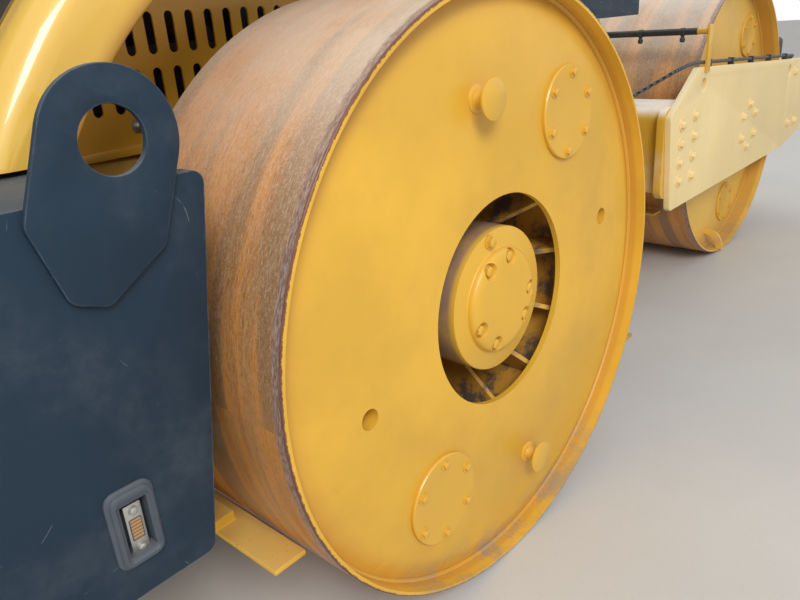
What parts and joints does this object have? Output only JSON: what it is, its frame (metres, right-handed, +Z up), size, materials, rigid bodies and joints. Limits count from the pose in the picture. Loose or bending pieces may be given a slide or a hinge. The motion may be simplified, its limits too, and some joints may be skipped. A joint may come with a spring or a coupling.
{
  "type": "three-drum road roller",
  "caption": "Static road roller with tall rear drums, a wide front drum in an articulated oscillating frame, tilting hood and closed cab.",
  "frame": {"origin": "on the floor, below the middle of the machine's length and width", "axes": "+X forward, +Y to the machine's left, +Z up"},
  "size_m": [5.96, 2.352, 3.265],
  "materials": {
    "yellow_paint": "worn satin paint with dust",
    "slate_paint": "dusty satin paint",
    "dark_paint": "matt dark paint",
    "drum_steel": "rusty rolled steel with a worn yellow disc",
    "cast_parts": "rough casting",
    "machined_steel": "oiled steel",
    "rod_chrome": "polished",
    "window_glass": "clear tinted glass",
    "lamp_glass": "lamp glass",
    "tail_lamp_glass": "red and amber lens",
    "amber_glass": "amber lens",
    "black_rubber": "matt rubber",
    "cab_plastic": "grained plastic",
    "seat_fabric": "woven seat cover"
  },
  "bodies": {
    "rear_frame": {"rear_axle": "cast_parts", "rear_chassis": "yellow_paint", "steering_pin": "machined_steel", "tail_box": "slate_paint", "lifting_lugs": "slate_paint", "side_marker_lamps": "amber_glass", "tail_lamps": "tail_lamp_glass", "engine_block": "cast_parts", "slotted_panels": "yellow_paint", "cab_body": "slate_paint", "cab_frame": "slate_paint", "cab_roof": "yellow_paint", "windscreen": "window_glass", "rear_window": "window_glass", "side_windows": "window_glass", "cab_support": "yellow_paint", "cab_mounts": "black_rubber", "driver_seat": "seat_fabric", "steering_console": "cab_plastic", "steering_wheel": "cab_plastic", "side_tanks": "yellow_paint", "access_steps": "dark_paint", "handrails": "dark_paint", "outside_mirrors": "cab_plastic", "roof_lamps": "lamp_glass", "beacon": "amber_glass", "rear_drum_scrapers": "yellow_paint", "fore_drum_scrapers": "yellow_paint"},
    "hood": {"engine_hood": "yellow_paint", "hood_grilles": "dark_paint", "exhaust_stack": "dark_paint"},
    "centre_link": {"centre_link": "dark_paint"},
    "front_frame": {"side_plates": "yellow_paint", "rear_beam": "yellow_paint", "front_beam": "yellow_paint", "front_stub_shafts": "cast_parts", "spray_bar": "yellow_paint", "front_bumper": "dark_paint", "head_lamps": "lamp_glass", "front_scrapers": "yellow_paint", "front_cable": "black_rubber", "cable_clips": "cab_plastic"},
    "front_drum": {"front_drum": "drum_steel", "front_drum_covers": "yellow_paint"},
    "rear_drum_right": {"rear_drum_right": "drum_steel", "rear_hub_right": "yellow_paint", "drum_fittings_right": "yellow_paint"},
    "door_right": {"cab_door_right": "slate_paint", "door_window_right": "window_glass"},
    "barrel_right": {"steering_barrel_right": "dark_paint"},
    "rod_right": {"steering_rod_right": "rod_chrome"},
    "rear_drum_left": {"rear_drum_left": "drum_steel", "rear_hub_left": "yellow_paint", "drum_fittings_left": "yellow_paint"},
    "door_left": {"cab_door_left": "slate_paint", "door_window_left": "window_glass"},
    "barrel_left": {"steering_barrel_left": "dark_paint"},
    "rod_left": {"steering_rod_left": "rod_chrome"}
  },
  "joints": [
    {"name": "steering", "type": "hinge", "parent": "rear_frame", "child": "centre_link", "pos_m": [0.25, 0, 0.83], "axis": [0, 0, 1], "range_deg": [-35, 35]},
    {"name": "oscillation", "type": "hinge", "parent": "centre_link", "child": "front_frame", "pos_m": [0.475, 0, 0.83], "axis": [1, 0, 0], "range_deg": [-8, 8]},
    {"name": "front_drum_turn", "type": "hinge", "parent": "front_frame", "child": "front_drum", "pos_m": [1.72, 0, 0.8], "axis": [0, 1, 0], "continuous": true},
    {"name": "hood_tilt", "type": "hinge", "parent": "rear_frame", "child": "hood", "pos_m": [-2.916, 0, 1.332], "axis": [0, -1, 0], "range_deg": [0, 55]},
    {"name": "rear_drum_right_turn", "type": "hinge", "parent": "rear_frame", "child": "rear_drum_right", "pos_m": [-1.4, -0.87, 0.8], "axis": [0, 1, 0], "continuous": true},
    {"name": "door_right_swing", "type": "hinge", "parent": "rear_frame", "child": "door_right", "pos_m": [-0.573, -0.774, 2.25], "axis": [0, 0, -1], "range_deg": [0, 85]},
    {"name": "barrel_right_swing", "type": "hinge", "parent": "rear_frame", "child": "barrel_right", "pos_m": [-0.27, -0.22, 0.83], "axis": [0, 0, 1], "range_deg": [-3.6, 3.6]},
    {"name": "rod_right_slide", "type": "slide", "parent": "barrel_right", "child": "rod_right", "axis": [1, 0, 0], "range_m": [-0.13, 0.13]},
    {"name": "rear_drum_left_turn", "type": "hinge", "parent": "rear_frame", "child": "rear_drum_left", "pos_m": [-1.4, 0.87, 0.8], "axis": [0, 1, 0], "continuous": true},
    {"name": "door_left_swing", "type": "hinge", "parent": "rear_frame", "child": "door_left", "pos_m": [-0.573, 0.774, 2.25], "axis": [0, 0, 1], "range_deg": [0, 85]},
    {"name": "barrel_left_swing", "type": "hinge", "parent": "rear_frame", "child": "barrel_left", "pos_m": [-0.27, 0.22, 0.83], "axis": [0, 0, 1], "range_deg": [-3.6, 3.6]},
    {"name": "rod_left_slide", "type": "slide", "parent": "barrel_left", "child": "rod_left", "axis": [1, 0, 0], "range_m": [-0.13, 0.13]}
  ],
  "couplings": [
    {"joint": "barrel_right_swing", "follows": "steering", "ratio": 0.099},
    {"joint": "rod_right_slide", "follows": "steering", "m_per_rad": 0.21},
    {"joint": "barrel_left_swing", "follows": "steering", "ratio": 0.099},
    {"joint": "rod_left_slide", "follows": "steering", "m_per_rad": -0.21}
  ]
}
